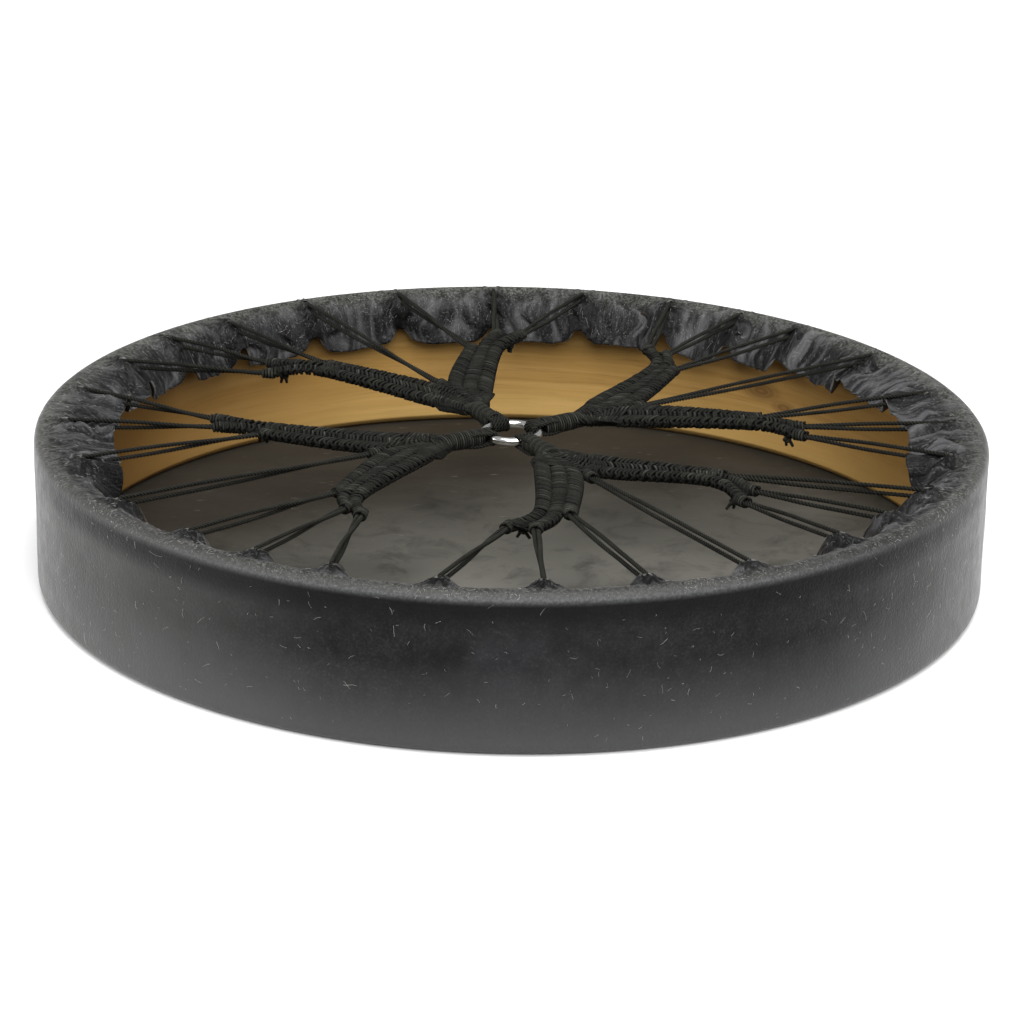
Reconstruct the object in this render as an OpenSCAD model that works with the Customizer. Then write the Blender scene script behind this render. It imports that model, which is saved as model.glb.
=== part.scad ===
// Rope-laced frame drum, stored on its head with the open back upwards.
// Origin: centre of the head's outer face. +Z runs from the head to the open back.
// The lacing has four arms: left (-X), front (-Y), right (+X) and back (+Y).

/* [Drum] */
// Outside diameter, measured over the hide
drum_d = 600; // [560:10:640]
// Overall depth, from the head's face to the crest of the back rim
drum_h = 98; // [90:1:130]
// Thickness of the hide
hide_t = 1.5; // [1:0.1:2]

/* [Hoop] */
// Thickness of the bent wood hoop
hoop_wall = 16.5; // [14:0.5:20]
// Rounding of the hoop's outer edge at the back
back_round = 5; // [3:0.5:6]
// Rounding of the hoop's outer edge at the head
head_round = 4.5; // [3:0.5:6]
// Width and height of the chamfer inside the head edge
head_chamfer = 4.5; // [3:0.5:6]
// Depth of the bevel that leaves room for the laces at the back edge
back_bevel = 7; // [6:0.5:8]

/* [Flap] */
// Width of the hide folded in over the back rim, from the crest to the tips of its tabs
flap_w = 45; // [40:1:50]
// Length of the slack lobes that hang between two tabs
lobe_drop = 26; // [15:1:30]
// Radius of the cut-back between two tabs
scallop_r = 19; // [12:1:19]

/* [Lacing] */
// Diameter of the lacing cord
cord_d = 2.8; // [2:0.1:3]
// Slope of the lacing, which dips towards the middle
lacing_slope = 0.03; // [0.01:0.01:0.04]
// Thickness of the woven bindings
binding_t = 8.4; // [8:0.2:10]
// Width of a binding around one pair of strands
finger_w = 8; // [6:0.5:9]
// Diameter of the round whipping next to the grip ring
whipping_d = 12; // [10:0.5:13]
// Distance from the centre at which a whipping becomes a flat binding
whipping_end = 46; // [42:1:52]

/* [Grip ring] */
// Mean diameter of the steel ring in the middle
ring_d = 35; // [32:1:38]
// Thickness of the ring's wire
ring_wire = 5; // [4:0.5:6]

/* [Hidden] */
ARMS = ["left", "front", "right", "back"];

// Direction of each arm, in degrees
arm_angle = [211, 299, 31, 118.5];

// Each arm has seven laces, counted anticlockwise as seen from the back.
// A row is [x, y] where the lace leaves its binding, then [distance from the
// centre, angle] of its hole in the flap, for a drum of 600 mm.
layout = [
    [
        [[-187, 4], [281, 171]],
        [[-185, -12], [280, 184]],
        [[-156, -22], [277, 199]],
        [[-86, -52], [281, 215]],
        [[-103, -127], [281, 229]],
        [[-97, -155], [280, 239]],
        [[-88, -167], [279, 249]]
    ],
    [
        [[-2, -183], [280.5, 262]],
        [[15, -186], [281, 274]],
        [[35, -158], [281, 286]],
        [[49, -89], [282, 299]],
        [[139, -134], [275, 314]],
        [[146, -113], [275, 324]],
        [[128, -83], [278, 334]]
    ],
    [
        [[183, -8], [275, 348]],
        [[183, 9], [278, 1]],
        [[157, 26], [279, 14]],
        [[83, 50], [283, 31]],
        [[107, 121], [281, 46]],
        [[103, 153], [282, 56]],
        [[92, 166], [280, 67]]
    ],
    [
        [[5, 193], [281, 80]],
        [[-12, 194], [283, 93]],
        [[-28, 162], [283, 107]],
        [[-47, 89], [282, 121]],
        [[-122, 119], [275, 135]],
        [[-160, 119], [279, 146]],
        [[-162, 99], [278, 158]]
    ]
];

// Small knots and cut cord ends that sit against the bindings: [arm, x, y]
knots = [
    [0, -157, -11.5],
    [0, -91.5, -147],
    [1, 7.6, -174],
    [1, 133.6, -120],
    [2, 174.5, -0.5],
    [2, 95, 140.5],
    [3, -2.5, 184],
    [3, -151.4, 107.5]
];

drum_r = drum_d / 2;
hoop_r = drum_r - hide_t;
hoop_in = hoop_r - hoop_wall;
hoop_top = drum_h - hide_t;
layout_scale = drum_d / 600;
cord_r = cord_d / 2;
crest_r = hoop_r - back_round;
head_flat_r = hoop_r - head_round;
// The lacing, the bindings and the flap lie along one shallow cone.
cone_z = drum_h - hide_t / 2 - lacing_slope * crest_r;
ring_r = ring_d / 2;
ring_z = cone_z + lacing_slope * ring_r;
flap_tip_r = crest_r - flap_w;
lobe_r = flap_tip_r + scallop_r + 1;
// Half the distance between the two strands of a lace, so that the flap fits between them
strand_gap = hide_t / 2 + cord_r + 0.1;
// Length of a lace that is held inside its binding
seat = 7;
fit = 0.05;
knot_r = 3.4;
hide_black = [0.13, 0.14, 0.15];
flesh_brown = [0.24, 0.20, 0.18];
cord_black = [0.07, 0.07, 0.07];

function polar(r, a) = [r * cos(a), r * sin(a)];
function cone_at(r) = cone_z + lacing_slope * r;
// Height of an arm's middle plane above a point
function arm_z(arm, p) = cone_z + lacing_slope * (p * polar(1, arm_angle[arm]));
function along(p, q) = (q - p) / norm(q - p);
function left_of(d) = [-d[1], d[0]];

function lace_start(arm, k) = layout[arm][k][0] * layout_scale;
function hole_r(arm, k) = layout[arm][k][1][0] * layout_scale;
function hole_angle(arm, k) = layout[arm][k][1][1];
function hole_at(arm, k) = polar(hole_r(arm, k), hole_angle(arm, k));
function lace_dir(arm, k) = along(lace_start(arm, k), hole_at(arm, k));

all_holes = [for (arm = [0:3]) for (k = [0:6]) [hole_r(arm, k), hole_angle(arm, k)]];
function next_angle(i) = i < 27 ? all_holes[i + 1][1] : all_holes[0][1] + 360;
function turned(a, from) = a < from ? a + 360 : a;
function gap_middle(i) = (all_holes[i][1] + turned(next_angle(i), all_holes[i][1])) / 2;

// A round bar from point a to point b
module bar(a, b, r) {
    v = b - a;
    translate(a)
        rotate([0, acos(v[2] / norm(v)), atan2(v[1], v[0])])
            cylinder(r = r, h = norm(v), $fn = 24);
}

// Section of a ring from radius r_in to r_out with its two outer corners rounded
module wall_section(r_in, r_out, z0, z1, r0, r1) {
    wide = max(r0, r1);
    translate([r_in, z0])
        square([r_out - wide - r_in, z1 - z0]);
    translate([r_in, z0 + r0])
        square([r_out - r_in, z1 - z0 - r0 - r1]);
    translate([r_in, z0])
        square([r_out - r0 - r_in, r0 + 1]);
    translate([r_in, z1 - r1 - 1])
        square([r_out - r1 - r_in, r1 + 1]);
    translate([r_out - r0, z0 + r0])
        circle(r = r0, $fn = 48);
    translate([r_out - r1, z1 - r1])
        circle(r = r1, $fn = 48);
}

module hoop_section() {
    difference() {
        wall_section(hoop_in, hoop_r, hide_t, hoop_top, head_round, back_round);
        polygon([
            [hoop_in - 1, hide_t - 1],
            [hoop_in + head_chamfer + 1, hide_t - 1],
            [hoop_in - 1, hide_t + head_chamfer + 1]
        ]);
        polygon([
            [crest_r, hoop_top],
            [hoop_in - 1, hoop_top + 1],
            [hoop_in - 1, hoop_top - back_bevel]
        ]);
    }
}

module hoop() {
    color([0.62, 0.44, 0.22])
        rotate_extrude($fn = 180)
            hoop_section();
}

// The struck face: the flat part of the hide, inside the rounded edge
module drumhead() {
    color(flesh_brown)
        cylinder(r = head_flat_r, h = hide_t, $fn = 180);
}

// The hide where it wraps the hoop, from the head's edge to the crest of the rim
module hide_side() {
    color(hide_black)
        rotate_extrude($fn = 180)
            difference() {
                intersection() {
                    wall_section(head_flat_r - 5, drum_r, 0, drum_h, head_round + hide_t, back_round + hide_t);
                    union() {
                        translate([head_flat_r, 0])
                            square([drum_r, drum_h / 2]);
                        translate([crest_r, drum_h / 2])
                            square([drum_r, drum_h]);
                    }
                }
                wall_section(hoop_in, hoop_r, hide_t, hoop_top, head_round, back_round);
                translate([hoop_in, hide_t + head_round])
                    square([hoop_r - hoop_in, hoop_top - back_round - hide_t - head_round]);
            }
}

// One slack lobe of the flap, with rounded lower corners
module lobe(angle) {
    half_w = scallop_r * 0.9;
    lobe_round = scallop_r * 1.15;
    lobe_z = cone_at(lobe_r) - lobe_drop;
    rotate([0, 0, angle])
        translate([lobe_r, 0, lobe_z])
            rotate([90, 0, 90])
                linear_extrude(hide_t)
                    intersection() {
                        translate([-half_w, 0])
                            square([2 * half_w, lobe_drop]);
                        translate([0, lobe_round])
                            circle(r = lobe_round, $fn = 48);
                    }
}

// The hide folded in over the rim: tabs that the laces hold, and slack lobes between them
module hide_flap() {
    color(hide_black) {
        difference() {
            rotate_extrude($fn = 180)
                polygon([
                    [flap_tip_r, cone_at(flap_tip_r) - hide_t / 2],
                    [crest_r, cone_at(crest_r) - hide_t / 2],
                    [crest_r, cone_at(crest_r) + hide_t / 2],
                    [flap_tip_r, cone_at(flap_tip_r) + hide_t / 2]
                ]);
            for (i = [0:27])
                rotate([0, 0, gap_middle(i)])
                    translate([flap_tip_r, 0, drum_h / 2])
                        cylinder(r = scallop_r, h = drum_h, $fn = 48);
            for (hole = all_holes)
                rotate([0, 0, hole[1]])
                    translate([hole[0], 0, drum_h / 2])
                        cylinder(r = cord_r + 0.2, h = drum_h, $fn = 24);
        }
        for (i = [0:27])
            lobe(gap_middle(i));
    }
}

module grip_ring() {
    color([0.78, 0.78, 0.78])
        translate([0, 0, ring_z])
            rotate_extrude($fn = 96)
                translate([ring_r, 0])
                    circle(r = ring_wire / 2, $fn = 32);
}

// The round whipping of one arm, looped over the grip ring
module whipping(arm) {
    ring_point = polar(ring_r, arm_angle[arm]);
    end_point = polar(whipping_end, arm_angle[arm]);
    start = concat(ring_point, cone_at(ring_r));
    color(cord_black)
        difference() {
            union() {
                bar(start, concat(end_point, cone_at(whipping_end)), whipping_d / 2);
                translate(start)
                    sphere(r = whipping_d / 2, $fn = 32);
            }
            translate([0, 0, ring_z])
                rotate_extrude($fn = 96)
                    translate([ring_r, 0])
                        circle(r = ring_wire / 2 + fit, $fn = 32);
            // The flat binding takes over where the whipping ends
            multmatrix(arm_plane(arm))
                translate([whipping_end, -20, -20])
                    cube([20, 40, 40]);
        }
}

// Tilts a shape drawn along +X to lie on an arm's middle plane
function arm_plane(arm) =
    let (a = arm_angle[arm], t = atan(lacing_slope))
    [
        [cos(a) * cos(t), -sin(a), -cos(a) * sin(t), 0],
        [sin(a) * cos(t), cos(a), -sin(a) * sin(t), 0],
        [sin(t), 0, cos(t), cone_z],
        [0, 0, 0, 1]
    ];

// A point of the plan as seen from an arm: along its axis, then across it
function in_arm(arm, p) =
    let (a = arm_angle[arm])
    [(p * polar(1, a)) / cos(atan(lacing_slope)), p * polar(1, a + 90)];

function binding_outline(arm) = concat(
    [[whipping_end, -whipping_d / 2]],
    [
        for (k = [0:6])
            for (side = [-1, 1])
                in_arm(arm, lace_start(arm, k) + side * finger_w / 2 * left_of(lace_dir(arm, k)))
    ],
    [[whipping_end, whipping_d / 2]]
);

// Moves what follows from along +X onto a lace, starting where it leaves its binding
module on_lace(arm, k) {
    start = lace_start(arm, k);
    run = hole_at(arm, k) - start;
    rise = cone_at(hole_r(arm, k)) - arm_z(arm, start);
    translate(concat(start, arm_z(arm, start)))
        rotate([0, -atan(rise / norm(run)), atan2(run[1], run[0])])
            children();
}

// The two parallel strands of a lace, one above the flap and one below it
module strands(from, to, r) {
    for (side = [-1, 1])
        translate([from, 0, side * strand_gap])
            rotate([0, 90, 0])
                cylinder(r = r, h = to - from, $fn = 24);
}

// The flat woven binding of one arm, which holds the ends of its seven laces
module binding(arm) {
    color(cord_black)
        difference() {
            multmatrix(arm_plane(arm))
                translate([0, 0, -binding_t / 2])
                    linear_extrude(binding_t)
                        polygon(binding_outline(arm));
            for (k = [0:6])
                on_lace(arm, k)
                    strands(-seat, seat, cord_r + fit);
        }
}

// One lace: a doubled cord that runs out to its hole, turns down through it and runs back
module lace(arm, k) {
    bend_x = norm(hole_at(arm, k) - lace_start(arm, k)) - strand_gap;
    color(cord_black)
        on_lace(arm, k) {
            strands(-seat, bend_x, cord_r);
            translate([bend_x, 0, 0])
                rotate([90, 0, 0])
                    rotate([0, 0, -90])
                        rotate_extrude(angle = 180, $fn = 48)
                            translate([strand_gap, 0])
                                circle(r = cord_r, $fn = 24);
        }
}

module binding_knots() {
    color(cord_black)
        for (knot = knots) {
            p = [knot[1], knot[2]] * layout_scale;
            translate(concat(p, arm_z(knot[0], p) - binding_t / 2 - knot_r))
                sphere(r = knot_r, $fn = 24);
        }
}

hoop();
drumhead();
hide_side();
hide_flap();
grip_ring();
binding_knots();
for (arm = [0:3]) {
    whipping(arm);
    binding(arm);
    for (k = [0:6])
        lace(arm, k);
}
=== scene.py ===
"""Looks of the rope-laced frame drum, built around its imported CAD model.

Lengths are in millimetres until a mesh is made. The drum lies on its head, open back up.
"""

import math

import bpy
import numpy as np
from mathutils import Matrix, Vector


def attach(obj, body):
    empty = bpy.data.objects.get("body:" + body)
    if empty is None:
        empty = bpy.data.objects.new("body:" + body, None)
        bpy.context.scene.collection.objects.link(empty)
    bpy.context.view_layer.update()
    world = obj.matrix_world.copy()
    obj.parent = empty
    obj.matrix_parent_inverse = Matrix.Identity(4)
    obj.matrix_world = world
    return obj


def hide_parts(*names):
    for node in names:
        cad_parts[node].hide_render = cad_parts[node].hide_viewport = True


MM = 0.001
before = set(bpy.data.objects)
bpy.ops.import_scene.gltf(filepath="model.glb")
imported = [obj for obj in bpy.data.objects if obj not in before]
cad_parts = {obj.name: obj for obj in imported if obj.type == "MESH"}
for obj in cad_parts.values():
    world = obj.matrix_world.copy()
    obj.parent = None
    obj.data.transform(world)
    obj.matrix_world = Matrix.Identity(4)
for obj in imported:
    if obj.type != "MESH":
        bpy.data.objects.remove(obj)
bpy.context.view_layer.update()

# ---------- the drum's sizes
DRUM_R = 300.0
DRUM_H = 98.0
HIDE_T = 1.5
HOOP_WALL = 16.5
HOOP_R = DRUM_R - HIDE_T
HOOP_IN = HOOP_R - HOOP_WALL
BACK_ROUND = 6.5
HEAD_ROUND = 6.0
CREST_R = DRUM_R - BACK_ROUND
# The flap and the lacing follow a shallow cone that sinks towards the middle of the drum
SLOPE = 0.03
CONE_Z = DRUM_H - HIDE_T / 2 - SLOPE * CREST_R
FLAP_W = 44.0
CORD_R = 1.4
WEFT_R = 1.0
RING_R = 17.5
WIRE_R = 2.5
RING_Z = CONE_Z + SLOPE * RING_R

ARMS = ("left", "front", "right", "back")
ARM_ANGLE = (211, 299, 31, 118.5)
LACES = 7
STRANDS = 2 * LACES
HOLES = len(ARMS) * LACES
FIRST_HOLE = 171
# For each arm, seven laces: [x, y] where a lace leaves its binding, then [radius, angle] of its hole.
LAYOUT = (
    (((-187, 4), (281, 171)), ((-185, -12), (280, 184)), ((-156, -22), (277, 199)), ((-86, -52), (281, 215)),
     ((-103, -127), (281, 229)), ((-97, -155), (280, 239)), ((-88, -167), (279, 249))),
    (((-2, -183), (280.5, 262)), ((15, -186), (281, 274)), ((35, -158), (281, 286)), ((49, -89), (282, 299)),
     ((139, -134), (275, 314)), ((146, -113), (275, 324)), ((128, -83), (278, 334))),
    (((183, -8), (275, 348)), ((183, 9), (278, 1)), ((157, 26), (279, 14)), ((83, 50), (283, 31)),
     ((107, 121), (281, 46)), ((103, 153), (282, 56)), ((92, 166), (280, 67))),
    (((5, 193), (281, 80)), ((-12, 194), (283, 93)), ((-28, 162), (283, 107)), ((-47, 89), (282, 121)),
     ((-122, 119), (275, 135)), ((-160, 119), (279, 146)), ((-162, 99), (278, 158))),
)  # fmt: skip
# The knots on the bindings: arm, x and y
KNOTS = (
    (0, -157, -11.5),
    (0, -91.5, -147),
    (1, 7.6, -174),
    (1, 133.6, -120),
    (2, 174.5, -0.5),
    (2, 95, 140.5),
    (3, -2.5, 184),
    (3, -151.4, 107.5),
)
# How far the hide droops between one hole and the next, in degrees at its edge, from the first hole on
DROOP = (
    10, 13, 52, 60, 62, 62, 62,
    64, 64, 64, 64, 60, 56, 40,
    14, 12, 24, 46, 52, 56, 60,
    66, 70, 72, 66, 58, 52, 30,
)  # fmt: skip


# ---------- small maths
def around_drum(r, degrees, z):
    """Points at a radius, an angle and a height."""
    a = np.radians(degrees)
    return np.stack(np.broadcast_arrays(r * np.cos(a), r * np.sin(a), z), -1)


def polar(r, degrees):
    """The same in plan."""
    return around_drum(r, degrees, 0.0)[..., :2]


def unit(v):
    v = np.asarray(v, float)
    return v / np.maximum(np.linalg.norm(v, axis=-1, keepdims=True), 1e-9)


def smooth(a, b, x):
    t = np.clip((x - a) / (b - a), 0, 1)
    return t * t * (3 - 2 * t)


def sums(steps):
    """Running sums of the steps, from 0."""
    return np.concatenate([0.0 * steps[:1], np.cumsum(steps, 0)])


def left_of(d):
    return np.array([-d[1], d[0]])


def cone_at(r):
    return CONE_Z + SLOPE * r


def arm_z(arm, xy):
    return CONE_Z + SLOPE * (np.asarray(xy) @ polar(1, ARM_ANGLE[arm]))


def value_noise(x, y, seed, period_x=512):
    """Smooth noise from -1 to 1 that repeats in x after period_x cells."""
    grid = np.random.RandomState(seed).uniform(-1, 1, (512, 256))
    xi, yi = np.floor(x).astype(int), np.floor(y).astype(int)
    fx, fy = x - xi, y - yi
    fx, fy = fx * fx * (3 - 2 * fx), fy * fy * (3 - 2 * fy)

    def at(i, j):
        return grid[np.mod(i, period_x), np.mod(j, 256)]

    top = at(xi, yi) * (1 - fx) + at(xi + 1, yi) * fx
    low = at(xi, yi + 1) * (1 - fx) + at(xi + 1, yi + 1) * fx
    return top * (1 - fy) + low * fy


def spline(knots, points, s):
    """Smooth curve through the points, at the positions s of the given knots."""
    knots, points = np.asarray(knots, float), np.asarray(points, float)
    slope = np.gradient(points, knots, axis=0)
    i = np.clip(np.searchsorted(knots, s, side="right") - 1, 0, len(knots) - 2)
    h = (knots[i + 1] - knots[i])[:, None]
    t = ((s - knots[i]) / h[:, 0])[:, None]
    a, b = points[i], points[i + 1]
    ma, mb = slope[i] * h, slope[i + 1] * h
    t2, t3 = t * t, t * t * t
    return a * (2 * t3 - 3 * t2 + 1) + ma * (t3 - 2 * t2 + t) + b * (3 * t2 - 2 * t3) + mb * (t3 - t2)


def resample(path, step):
    """The same path with points about one step apart."""
    path = np.asarray(path, float)
    s = sums(np.linalg.norm(np.diff(path, axis=0), axis=1))
    n = max(int(round(s[-1] / step)), 2)
    t = np.linspace(0, s[-1], n + 1)
    return np.stack([np.interp(t, s, path[:, k]) for k in range(3)], 1), t


def rounded(path, per_span=3):
    """A smooth curve through every point of a path."""
    path = np.asarray(path, float)
    knots = np.arange(len(path))
    return spline(knots, path, np.linspace(0, len(path) - 1, (len(path) - 1) * per_span + 1))


# ---------- meshes
class Builder:
    """Collects tubes and grids, and makes one mesh of them."""

    def __init__(self):
        self.verts, self.relief, self.count = [], [], 0
        self.quads, self.tris = [np.zeros((0, 4), int)], [np.zeros((0, 3), int)]

    def add(self, verts, quads=(), tris=(), relief=1.0):
        self.quads.append(np.asarray(quads, int).reshape(-1, 4) + self.count)
        self.tris.append(np.asarray(tris, int).reshape(-1, 3) + self.count)
        self.verts.append(np.asarray(verts, float).reshape(-1, 3))
        self.count += len(self.verts[-1])
        self.relief.append(np.broadcast_to(np.asarray(relief, float), (len(self.verts[-1]),)))

    def tube(self, path, radius, ref, sides=8, phase=0.0, section=None, closed=False, relief=None, flank=1.0):
        """Sweeps a round section, or one with the given radii, along a path. ref is never along the path.

        flank scales the painted light of the sides that face ref, so that they are painted in shade where two
        turns of a cord meet.
        """
        path = np.asarray(path, float)
        n = len(path)
        if closed:
            tangent = unit(np.roll(path, -1, 0) - np.roll(path, 1, 0))
        else:
            tangent = unit(np.gradient(path, axis=0))
        ref = np.broadcast_to(np.asarray(ref, float), (n, 3))
        side = unit(ref - tangent * (ref * tangent).sum(1, keepdims=True))
        up = np.cross(tangent, side)
        around = np.linspace(0, 2 * math.pi, sides, endpoint=False)
        turn = np.broadcast_to(np.asarray(phase, float), (n,))[:, None] + around
        r = np.broadcast_to(np.asarray(radius, float), (n,))[:, None]
        r = r * (np.ones(sides) if section is None else np.asarray(section))
        way = np.cos(turn)[..., None] * side[:, None] + np.sin(turn)[..., None] * up[:, None]
        verts = (path[:, None] + r[..., None] * way).reshape(-1, 3)
        rows = n if closed else n - 1
        i, k = np.meshgrid(np.arange(rows), np.arange(sides), indexing="ij")
        j, m = (i + 1) % n, (k + 1) % sides
        quads = np.stack([i * sides + k, i * sides + m, j * sides + m, j * sides + k], -1).reshape(-1, 4)
        tris = ()
        # painted light and shade of each point: the given values, or on a rope painted shade in the grooves
        # and a painted highlight on the plies' tops
        if relief is not None:
            shade = np.broadcast_to(np.asarray(relief, float), (n,))[:, None] * np.ones(sides)
        elif section is not None:
            shade = 0.78 * ((r / r.max() - min(section)) / (1 - min(section))) ** 2
        else:
            shade = np.ones((n, sides))
        shade = (shade * (flank + (1 - flank) * np.abs(np.sin(turn)) ** 1.5)).ravel()
        if not closed:
            shade = np.append(shade, [0.5, 0.5])
            verts = np.concatenate([verts, path[:1], path[-1:]])
            k = np.arange(sides)
            m, last, ends = (k + 1) % sides, (n - 1) * sides, n * sides
            caps = (0 * k + ends, m, k), (0 * k + ends + 1, last + k, last + m)
            tris = np.concatenate([np.stack(cap, 1) for cap in caps])
        self.add(verts, quads, tris, shade)

    def make(self, name, material, node_names=(), uv=None):
        verts = np.concatenate(self.verts) * MM
        mesh = bpy.data.meshes.new(name)
        quads, tris = (np.concatenate(faces).astype(np.int32) for faces in (self.quads, self.tris))
        loops = np.concatenate([quads.ravel(), tris.ravel()])
        starts = np.concatenate([np.arange(len(quads)) * 4, len(quads) * 4 + np.arange(len(tris)) * 3])
        mesh.vertices.add(len(verts))
        mesh.vertices.foreach_set("co", verts.astype(np.float32).ravel())
        mesh.loops.add(len(loops))
        mesh.loops.foreach_set("vertex_index", loops)
        mesh.polygons.add(len(starts))
        mesh.polygons.foreach_set("loop_start", starts.astype(np.int32))
        mesh.polygons.foreach_set("use_smooth", np.ones(len(starts), bool))
        mesh.update(calc_edges=True)
        # the painted light and shade of each point, which the hide and cord materials read
        height = mesh.attributes.new("relief", "FLOAT", "POINT")
        height.data.foreach_set("value", np.concatenate(self.relief).astype(np.float32))
        if uv is not None:
            layer = mesh.uv_layers.new(name="sheet")
            layer.data.foreach_set("uv", (np.asarray(uv)[loops] * MM).astype(np.float32).ravel())
        mesh.validate()
        for one in material if isinstance(material, list) else [material]:
            mesh.materials.append(one)
        obj = bpy.data.objects.new(name, mesh)
        bpy.context.scene.collection.objects.link(obj)
        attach(obj, "root")
        if node_names:
            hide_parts(*node_names)
        return obj


def transported(path):
    """A reference direction for each point that turns as little as possible along the path."""
    tangent = unit(np.gradient(np.asarray(path, float), axis=0))
    ref = np.zeros_like(tangent)
    v = np.cross(tangent[0], [0, 0, 1.0])
    if np.linalg.norm(v) < 1e-3:
        v = np.array([1.0, 0, 0])
    for i, t in enumerate(tangent):
        v = unit(v - t * (v @ t))
        ref[i] = v
    return ref


# ---------- materials
def new_material(name, **values):
    mat = bpy.data.materials.new(name)
    mat.use_nodes = True
    bsdf = mat.node_tree.nodes["Principled BSDF"]
    for key, value in values.items():
        bsdf.inputs[key.replace("_", " ")].default_value = value
    return mat, mat.node_tree, bsdf


def connect(tree, bsdf, **sockets):
    """Links each socket to the shader's input of that name."""
    for key, socket in sockets.items():
        tree.links.new(socket, bsdf.inputs[key.replace("_", " ")])


def put(tree, kind, inputs=None, **properties):
    """Adds a shader node. An input that is a socket is linked, and any other is a value."""
    n = tree.nodes.new("ShaderNode" + kind)
    for key, value in properties.items():
        setattr(n, key, value)
    for key, value in (inputs or {}).items():
        if isinstance(value, bpy.types.NodeSocket):
            tree.links.new(value, n.inputs[key])
        else:
            n.inputs[key].default_value = value
    return n


def ramp(tree, fac, *stops):
    """Colours along fac. Each stop is a position and a colour."""
    n = put(tree, "ValToRGB", {"Fac": fac})
    points = n.color_ramp.elements
    while len(points) < len(stops):
        points.new(0.5)
    for point, (position, colour) in zip(points, stops):
        point.position = position
        point.color = (*colour, 1)
    return n.outputs["Color"]


def object_place(tree):
    return put(tree, "TexCoord").outputs["Object"]


def axes(tree):
    """X, Y and Z of the object's own place."""
    return tuple(put(tree, "SeparateXYZ", {"Vector": object_place(tree)}).outputs)


def grey(tree, fac, *stops):
    return ramp(tree, fac, *[(p, (v, v, v)) for p, v in stops])


def noise(tree, place, scale, detail, rough, distortion=0.0):
    values = {"Scale": scale, "Detail": detail, "Roughness": rough, "Distortion": distortion}
    return put(tree, "TexNoise", {"Vector": place, **values}).outputs["Fac"]


def streaks(tree, place, scales, detail, rough, distortion=0.0):
    """Noise with its own scale along each axis."""
    place = put(tree, "Mapping", {"Vector": place, "Scale": scales}).outputs["Vector"]
    return noise(tree, place, 1.0, detail, rough, distortion)


def mix(tree, fac, a, b):
    """The colour a where fac is 0, and b where it is 1."""
    n = put(tree, "Mix", data_type="RGBA")
    for socket, value in ((n.inputs[0], fac), (n.inputs[6], a), (n.inputs[7], b)):
        if isinstance(value, bpy.types.NodeSocket):
            tree.links.new(value, socket)
        elif isinstance(value, tuple):
            socket.default_value = (*value, 1)
        else:
            socket.default_value = value
    return n.outputs[2]


def bump(tree, height, strength, distance_mm, normal=None):
    inputs = {"Height": height, "Strength": strength, "Distance": distance_mm * MM}
    if normal is not None:
        inputs["Normal"] = normal
    return put(tree, "Bump", inputs).outputs["Normal"]


BLACK = (0, 0, 0)
MIDDLE = (0.5, 0.5, 0.5)


def between(tree, value, low, high, at_low, at_high):
    """Maps a value from low..high to at_low..at_high, and holds it beyond them."""
    limits = {"From Min": low, "From Max": high, "To Min": at_low, "To Max": at_high}
    return put(tree, "MapRange", {"Value": value, **limits}).outputs["Result"]


def vector(tree, operation, a, b=BLACK):
    node = put(tree, "VectorMath", {0: a, 1: b}, operation=operation)
    return node.outputs["Value" if operation == "LENGTH" else "Vector"]


def only(tree, mask, value):
    """The value where the mask is 1, and 0 elsewhere."""
    return mix(tree, mask, BLACK, value)


def without(tree, mask, value):
    """The value where the mask is 0, and 0 elsewhere."""
    return mix(tree, mask, value, BLACK)


class HideMaps:
    """Textures and masks that the steps of the black hide share. Heights and radii are in metres."""

    def __init__(self, t):
        self.obj = object_place(t)
        self.x, self.y, self.height = axes(t)
        self.radius = vector(t, "LENGTH", vector(t, "MULTIPLY", self.obj, (1, 1, 0)))
        self.inward = grey(t, self.radius, (0.2955, 1.0), (0.2975, 0.0))
        self.blotch = noise(t, self.obj, 11, 5, 0.6)
        self.fine = noise(t, self.obj, 90, 4, 0.6)
        self.crumple = noise(t, self.obj, 90, 5, 0.6)
        self.specks = noise(t, self.obj, 650, 2, 0.5)


def hide_grain_and_floor_reflection(t, m):
    black, dark = (0.003, 0.003, 0.003), (0.006, 0.006, 0.0065)
    colour = ramp(t, m.blotch, (0.3, black), (0.52, dark), (0.72, (0.014, 0.0145, 0.016)))
    colour = mix(t, grey(t, m.fine, (0.35, 0.0), (0.75, 0.1)), colour, (0.045, 0.046, 0.048))
    # painted reflection of the floor: the side is lighter towards its bottom
    low = grey(t, m.height, (0.0, 1.0), (0.03, 0.4), (0.055, 0.0))
    return mix(t, low, colour, (0.06, 0.06, 0.061))


def hide_specks_and_edge_sheen(t, m, colour):
    """Specks on the flap, and a painted sheen in blotchy patches on the left and right of the side."""
    specks = only(t, m.inward, grey(t, m.specks, (0.62, 0.0), (0.74, 0.8)))
    colour = mix(t, specks, colour, (0.13, 0.13, 0.135))
    # painted sheen near the side's left and right edges, broken into blotchy patches
    sheen_gaps = grey(t, m.blotch, (0.3, 0.25), (0.6, 0.0))
    for near, far, amount in ((-0.10, -0.25, 0.5), (0.19, 0.29, 0.42)):
        edge_sheen = without(t, m.inward, between(t, m.x, near, far, 0.0, amount))
        colour = mix(t, without(t, sheen_gaps, edge_sheen), colour, (0.13, 0.131, 0.126))
    return colour


def hide_painted_folds(t, colour):
    """Painted highlights on the flap's folds and painted shade in its creases, from the mesh's attribute of
    painted light.
    """
    painted_fold_light = put(t, "Attribute", attribute_name="relief").outputs["Fac"]
    colour = mix(t, grey(t, painted_fold_light, (0.46, 0.0), (0.85, 0.85)), colour, (0.074, 0.074, 0.077))
    return mix(t, grey(t, painted_fold_light, (0.1, 0.97), (0.43, 0.0)), colour, (0.0010, 0.0010, 0.0010))


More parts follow.
